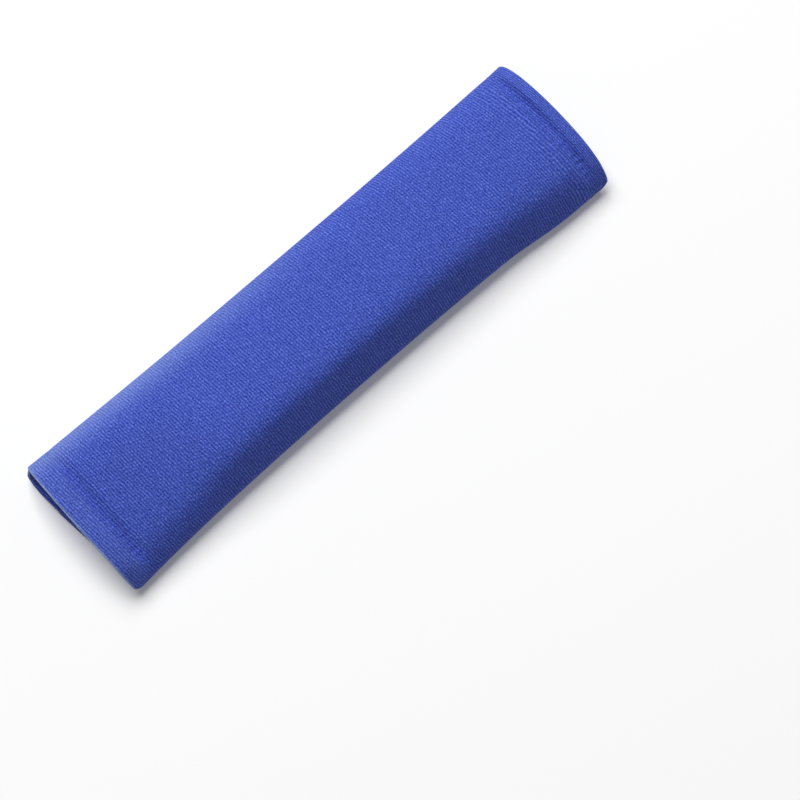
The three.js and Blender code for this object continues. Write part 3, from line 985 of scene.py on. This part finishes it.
def knit_finish(name, rib, loop, fuzz, dark, light, depth, strength, **settings):
    """Knitted cloth: colour between dark and light by the crest of its ribs, paler by the painted
    highlight, sheen and wear, darker by the painted shade, a few per cent uneven, and a bump of the
    ribs' height."""
    material, tree, surface = shader(name, **settings)
    place = add(tree, "ShaderNodeUVMap", uv_map="Cloth").outputs[0]
    knit = add(tree, "ShaderNodeGroup", node_tree=rib_knit)
    for key, value in (("Place", place), ("Rib", rib), ("Loop", loop), ("Fuzz", fuzz)):
        feed(tree, knit.inputs[key], value)
    colour = blend(tree, knit.outputs["Crest"], dark, light)
    # paler by the painted highlight and sheen, partly wear
    highlight_and_wear = add(tree, "ShaderNodeAttribute", attribute_name="HighlightAndWear").outputs["Fac"]
    pale_share = calc(tree, "MULTIPLY_ADD", knit.outputs["Crest"], 0.7, 0.6)
    colour = blend(tree, calc(tree, "MULTIPLY", highlight_and_wear, pale_share), colour, HIGHLIGHT_AND_WEAR_KNIT)
    # darker by the painted shade
    painted_shade = add(tree, "ShaderNodeAttribute", attribute_name="PaintedShade").outputs["Fac"]
    level = calc(tree, "MULTIPLY_ADD", knit.outputs["Cloud"], UNEVENNESS, 1.0)
    level = calc(tree, "MULTIPLY", level, calc(tree, "MULTIPLY_ADD", painted_shade, -PAINTED_SHADE_DEPTH, 1.0))
    shade = add(tree, "ShaderNodeVectorMath", {0: colour, 1: level}, operation="MULTIPLY")
    dress(tree, surface, shade.outputs[0], knit.outputs["Height"], depth, strength)
    return material


cover_knit = knit_finish(
    "brushed_rib_knit", rib=1.1 * MM, loop=1.4 * MM, fuzz=3.0,
    dark=(0.010, 0.028, 0.340, 1), light=(0.150, 0.238, 0.880, 1),
    depth=0.25 * MM, strength=0.6, roughness=0.92, sheen=0.30, sheen_tint=(0.8, 0.88, 1.0, 1),
)
lining_knit = knit_finish(
    "plain_lining_knit", rib=0.7 * MM, loop=0.8 * MM, fuzz=0.3,
    dark=(0.012, 0.020, 0.110, 1), light=(0.028, 0.044, 0.210, 1),
    depth=0.15 * MM, strength=0.6, roughness=0.95, sheen=0.15, sheen_tint=(0.4, 0.5, 1.0, 1),
)
cover.data.materials.append(cover_knit)
lining.data.materials.append(lining_knit)
print("knits:", cover_knit.name, "and", lining_knit.name)

# %% [markdown]
# The smaller finishes are read from Object coordinates, because sponge has no grain that follows
# its surface, and tapes and threads have no UV map. Foam is a field of little open cells, the
# tapes are a fine plain weave, and the thread has the slanting ridges of its twist.

# %% Foam, tape and thread finishes


def foam_finish():
    """Sponge: dark pits where a Voronoi cell's middle is near, in a warm tan."""
    material, tree, surface = shader("open_cell_foam", roughness=1.0)
    place = add(tree, "ShaderNodeTexCoord").outputs["Object"]
    cells = add(tree, "ShaderNodeTexVoronoi", {"Vector": place, "Scale": 1500.0})
    pits = add(tree, "ShaderNodeMapRange", {0: cells.outputs["Distance"], 1: 0.1, 2: 0.6})
    colour = blend(tree, pits.outputs[0], (0.50, 0.46, 0.38, 1), (0.80, 0.77, 0.68, 1))
    dress(tree, surface, colour, pits.outputs[0], depth=0.3 * MM, strength=0.6)
    return material


def tape_finish():
    """Woven tape: over and under waves along x and y, 0.5 mm apart, with uneven yarns."""
    material, tree, surface = shader("woven_tape", roughness=0.8, sheen=0.2,
                                     sheen_tint=(0.4, 0.5, 1.0, 1))
    place = add(tree, "ShaderNodeTexCoord").outputs["Object"]
    parts = add(tree, "ShaderNodeSeparateXYZ", {0: place})
    warp, weft = (wave(tree, calc(tree, "DIVIDE", parts.outputs[k], 0.5 * MM)) for k in (0, 1))
    weave = calc(tree, "ABSOLUTE", calc(tree, "SUBTRACT", warp, weft))
    uneven = calc(tree, "MULTIPLY_ADD", noise(tree, place, 700.0, 2.0), 0.6, weave)
    colour = blend(tree, uneven, (0.010, 0.018, 0.095, 1), (0.030, 0.048, 0.220, 1))
    dress(tree, surface, colour, weave, depth=0.1 * MM, strength=0.6)
    return material


def thread_finish():
    """Twisted thread: ridges slanting over the stitch, from a wave over x + y + z."""
    material, tree, surface = shader("sewing_thread", roughness=0.55, sheen=0.2,
                                     sheen_tint=(0.5, 0.6, 1.0, 1), specular=0.4)
    place = add(tree, "ShaderNodeTexCoord").outputs["Object"]
    parts = add(tree, "ShaderNodeSeparateXYZ", {0: place})
    slant = calc(tree, "ADD", parts.outputs[0], parts.outputs[1])
    slant = calc(tree, "ADD", slant, parts.outputs[2])
    ply = wave(tree, calc(tree, "DIVIDE", slant, 0.35 * MM))
    colour = blend(tree, ply, (0.035, 0.060, 0.300, 1), (0.075, 0.120, 0.520, 1))
    dress(tree, surface, colour, ply, depth=0.06 * MM, strength=0.7)
    return material


foam.data.materials.append(foam_finish())
woven_tape = tape_finish()
for tape in (hook_tape, loop_tape):
    tape.data.materials.append(woven_tape)
sewing_thread = thread_finish()
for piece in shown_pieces():
    if "stitches" in piece.name:
        piece.data.materials.append(sewing_thread)
print("small finishes:", foam.data.materials[0].name, woven_tape.name, sewing_thread.name)

# %% [markdown]
# A product photograph on white: one large soft lamp high above the rear fold, and an even, faint
# surround. Together they give an upward face an irradiance of about pi, at which a colour renders
# as it is written. More lamps would wash out the dark front side. The white behind is no light at
# all: the floor glows a little for the camera alone, more towards the horizon, and the world is
# white only to the camera and in reflections. From below a camera sees through the floor, but the
# floor still keeps the light off the underside, which looks black unless make_floor is left out.

# %% Floor, lamp and world
KEY_SHARE = 0.93  # of the light on an upward face, the rest is the world's
KEY_ELEVATION = math.radians(59)
KEY_TOWARDS = (0.26, 0.966)
KEY_DISTANCE = 4.0
KEY_SIZE = 2.7
FLOOR_GLOW = 0.155  # seen by the camera only
GLOW_FROM, GLOW_TO = 0.5, 4.0  # metres from the pad between which the glow grows to full white
FLOOR_DROP = 0.1 * MM


def make_floor():
    """A wide plane just under the pad, matt and white, that only its upper side shows."""
    reach = 6.0
    corners = [(-reach, -reach), (reach, -reach), (reach, reach), (-reach, reach)]
    mesh = bpy.data.meshes.new("paper_floor")
    mesh.from_pydata([(x, y, -FLOOR_DROP) for x, y in corners], [], [(0, 1, 2, 3)])
    floor = put("paper_floor", mesh)
    material, tree, surface = shader("white_paper", roughness=1.0, specular=0.0)
    surface.inputs["Base Color"].default_value = (0.95, 0.95, 0.95, 1)
    surface.inputs["Emission Color"].default_value = (1, 1, 1, 1)
    place = add(tree, "ShaderNodeTexCoord").outputs["Object"]
    away = add(tree, "ShaderNodeVectorMath", {0: place}, operation="LENGTH").outputs["Value"]
    glow = add(tree, "ShaderNodeMapRange", {0: away, 1: GLOW_FROM, 2: GLOW_TO, 3: FLOOR_GLOW, 4: 1.0})
    seen = add(tree, "ShaderNodeLightPath").outputs["Is Camera Ray"]
    strength = calc(tree, "MULTIPLY", seen, glow.outputs[0])
    tree.links.new(strength, surface.inputs["Emission Strength"])
    below = add(tree, "ShaderNodeNewGeometry").outputs["Backfacing"]
    tree.links.new(calc(tree, "SUBTRACT", 1.0, below), surface.inputs["Alpha"])
    mesh.materials.append(material)
    return floor


def make_key():
    """A square lamp aimed at the pad. Its power gives E = P / (pi d^2) on a face turned to it, so
    an upward face gets E sin(elevation) = pi * share."""
    flat = math.cos(KEY_ELEVATION)
    towards = Vector((KEY_TOWARDS[0] * flat, KEY_TOWARDS[1] * flat, math.sin(KEY_ELEVATION)))
    data = bpy.data.lights.new("soft_key", "AREA")
    data.size = KEY_SIZE
    data.energy = KEY_SHARE * math.pi**2 * KEY_DISTANCE**2 / math.sin(KEY_ELEVATION)
    lamp = put("soft_key", data)
    lamp.location = towards * KEY_DISTANCE
    lamp.rotation_euler = towards.to_track_quat("Z", "Y").to_euler()
    return lamp


def make_world():
    """Even light of the remaining share, and plain white to the camera and in reflections."""
    world = bpy.data.worlds.new("white_studio")
    world.use_nodes = True
    tree = world.node_tree
    background = tree.nodes["Background"]
    path = add(tree, "ShaderNodeLightPath")
    seen = calc(tree, "MAXIMUM", path.outputs["Is Camera Ray"], path.outputs["Is Glossy Ray"])
    strength = calc(tree, "MULTIPLY_ADD", seen, KEY_SHARE, 1 - KEY_SHARE)
    tree.links.new(strength, background.inputs["Strength"])
    background.inputs["Color"].default_value = (1, 1, 1, 1)
    bpy.context.scene.world = world
    return world


make_floor()
key = make_key()
make_world()
bpy.context.scene.view_settings.view_transform = "Standard"
print("key lamp watts:", round(key.data.energy, 1))
